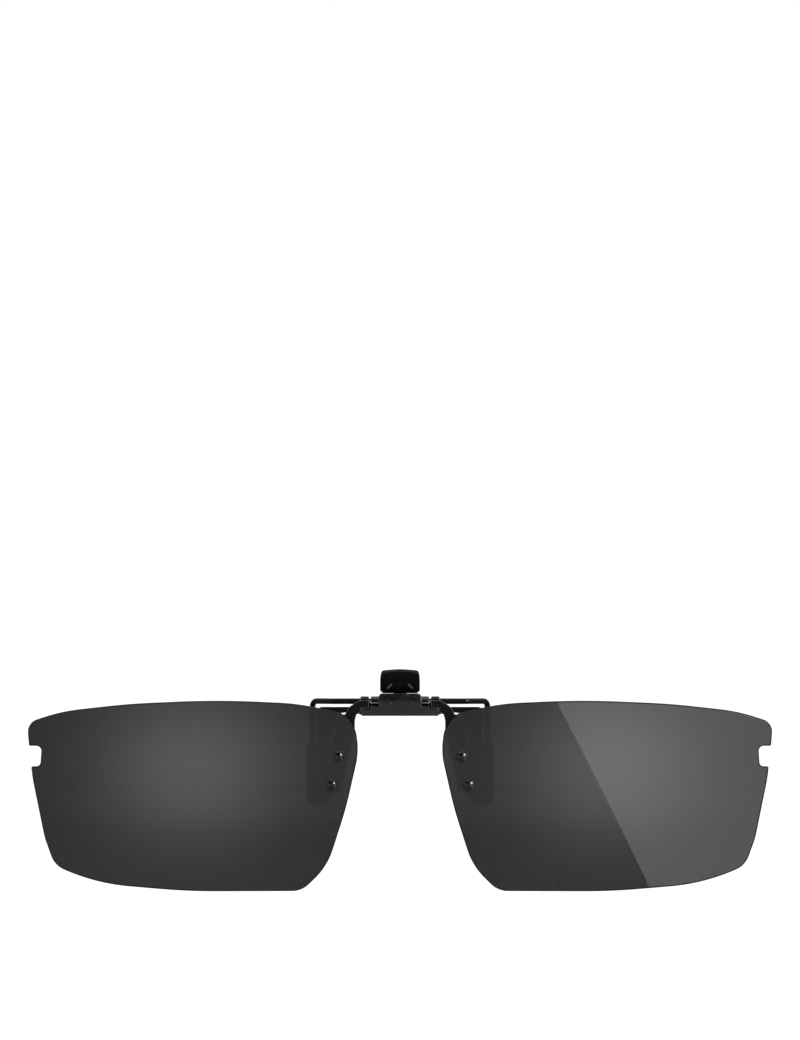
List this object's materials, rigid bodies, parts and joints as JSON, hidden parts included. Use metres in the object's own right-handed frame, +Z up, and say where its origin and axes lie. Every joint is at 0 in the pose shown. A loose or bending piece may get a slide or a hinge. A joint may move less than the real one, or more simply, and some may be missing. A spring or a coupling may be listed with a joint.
{
  "type": "clip-on flip-up sun lenses",
  "caption": "Clip-on sun lenses for spectacles: smoke-grey lenses on a flip-up hinge, with a sprung claw that grips the lens edges beside the nose.",
  "frame": {"origin": "in the middle between the lenses, on the plane in which the front sleeves touch the spectacle lenses, at the height of the flip hinge's axis", "axes": "+X to the right as seen from the front, +Y back towards the wearer, +Z up"},
  "size_m": [0.1268, 0.0109, 0.0377],
  "materials": {
    "sun_lens": "polished smoke-grey plastic lens, nearly opaque",
    "black_lacquer": "thin satin black lacquer over stamped steel, a little worn at the edges",
    "black_rivet": "domed gloss black",
    "nickel": "turned and nickel plated",
    "spring_steel": "drawn spring steel",
    "black_wire": "black coated spring wire",
    "pad_plastic": "moulded, satin",
    "soft_sleeve": "soft matte black sleeve",
    "nylon": "natural nylon"
  },
  "bodies": {
    "bridge": {"bridge_plate": "black_lacquer", "bridge_rivets": "black_rivet", "detent_spring": "spring_steel", "left_hinge_bush": "nickel", "right_hinge_bush": "nickel", "claw_frame": "black_lacquer", "left_front_sleeve": "soft_sleeve", "right_front_sleeve": "soft_sleeve", "left_torsion_spring": "spring_steel", "right_torsion_spring": "spring_steel"},
    "lens_carrier": {"left_lens": "sun_lens", "right_lens": "sun_lens", "left_lens_arm": "black_lacquer", "right_lens_arm": "black_lacquer", "left_rivets": "black_rivet", "right_rivets": "black_rivet", "left_lens_washers": "nylon", "right_lens_washers": "nylon", "flip_shaft": "nickel"},
    "rear_claw": {"claw_wire": "black_wire", "thumb_lever": "nickel", "thumb_pad": "pad_plastic", "left_rear_sleeve": "soft_sleeve", "right_rear_sleeve": "soft_sleeve"}
  },
  "joints": [
    {"name": "lens_flip", "type": "hinge", "parent": "bridge", "child": "lens_carrier", "pos_m": [0, -0.003, 0], "axis": [-1, 0, 0], "range_deg": [0, 92]},
    {"name": "claw_open", "type": "hinge", "parent": "bridge", "child": "rear_claw", "pos_m": [0, 0, 0.00022], "axis": [1, 0, 0], "range_deg": [0, 24], "stiffness_Nm_per_rad": 0.02, "springref_deg": -34.38}
  ]
}
